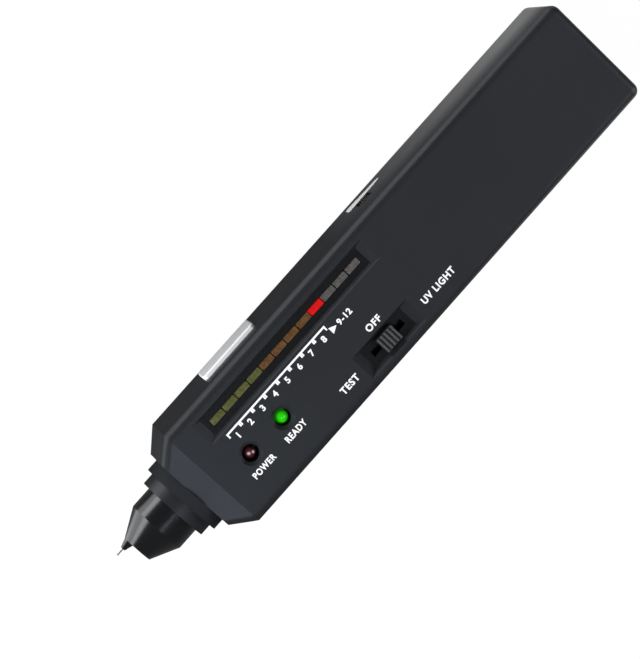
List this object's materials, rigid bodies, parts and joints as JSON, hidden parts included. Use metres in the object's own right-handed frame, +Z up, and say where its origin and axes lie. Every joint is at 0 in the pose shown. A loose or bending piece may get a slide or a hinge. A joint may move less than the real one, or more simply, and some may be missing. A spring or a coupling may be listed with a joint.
{
  "type": "diamond tester",
  "caption": "Pen-shaped gem tester: flat dark casing, stepped round nose with a sprung probe, bar lamp row, slide switch, side touch plate and thumbwheel.",
  "frame": {"origin": "centre of the flat back face of the casing, which the tester rests on", "axes": "+X along the casing away from the probe, +Y towards the side with the touch plate and the thumbwheel, +Z up through the face with the lamps"},
  "size_m": [0.1647, 0.0316, 0.0223],
  "materials": {
    "casing_plastic": "satin",
    "nose_plastic": "gloss",
    "button_plastic": "matte",
    "plate_metal": "satin",
    "probe_metal": "polished",
    "spring_steel": "satin",
    "uv_lens": "clear",
    "bar_yellow": "diffused",
    "bar_orange": "diffused",
    "bar_lit": "lit",
    "bar_red": "diffused",
    "lamp_red": "clear",
    "lamp_green": "lit",
    "board_laminate": "satin",
    "chip_plastic": "matte",
    "trimmer_plastic": "satin",
    "capacitor_sleeve": "gloss",
    "switch_can": "satin",
    "battery_metal": "satin",
    "snap_plastic": "matte",
    "screw_steel": "satin",
    "legend_ink": "printed"
  },
  "bodies": {
    "casing": {"front_shell": "casing_plastic", "back_shell": "casing_plastic", "touch_plate": "plate_metal", "nose_collar": "casing_plastic", "nose_cone": "nose_plastic", "probe_sleeve": "probe_metal", "probe_spring": "spring_steel", "uv_lamp": "uv_lens", "main_board": "board_laminate", "bar_lamp_01": "bar_yellow", "bar_lamp_02": "bar_yellow", "bar_lamp_03": "bar_yellow", "bar_lamp_04": "bar_yellow", "bar_lamp_05": "bar_orange", "bar_lamp_06": "bar_orange", "bar_lamp_07": "bar_orange", "bar_lamp_08": "bar_orange", "bar_lamp_09": "bar_lit", "bar_lamp_10": "bar_red", "bar_lamp_11": "bar_red", "bar_lamp_12": "bar_red", "power_lamp": "lamp_red", "ready_lamp": "lamp_green", "switch_body": "switch_can", "wheel_pot": "chip_plastic", "driver_chip": "chip_plastic", "amplifier_chip": "chip_plastic", "filter_capacitor": "capacitor_sleeve", "zero_trimmer": "trimmer_plastic", "buzzer": "chip_plastic", "battery": "battery_metal", "battery_snap": "snap_plastic", "case_screws": "screw_steel"},
    "probe": {"probe_needle": "probe_metal"},
    "switch_knob": {"switch_button": "button_plastic"},
    "wheel": {"thumbwheel": "button_plastic"},
    "bay_cover": {"battery_cover": "casing_plastic"}
  },
  "joints": [
    {"name": "probe_press", "type": "slide", "parent": "casing", "child": "probe", "axis": [1, 0, 0], "range_m": [0, 0.0012], "stiffness_N_per_m": 400, "springref_m": -0.0005, "deforming": ["probe_spring"]},
    {"name": "switch_slide", "type": "slide", "parent": "casing", "child": "switch_knob", "axis": [1, 0, 0], "range_m": [-0.0042, 0.0042]},
    {"name": "wheel_turn", "type": "hinge", "parent": "casing", "child": "wheel", "pos_m": [0.00765, 0.00735, 0.01095], "axis": [0, 0, 1], "range_deg": [-135, 135]},
    {"name": "cover_slide", "type": "slide", "parent": "casing", "child": "bay_cover", "axis": [1, 0, 0], "range_m": [0, 0.0542]}
  ]
}
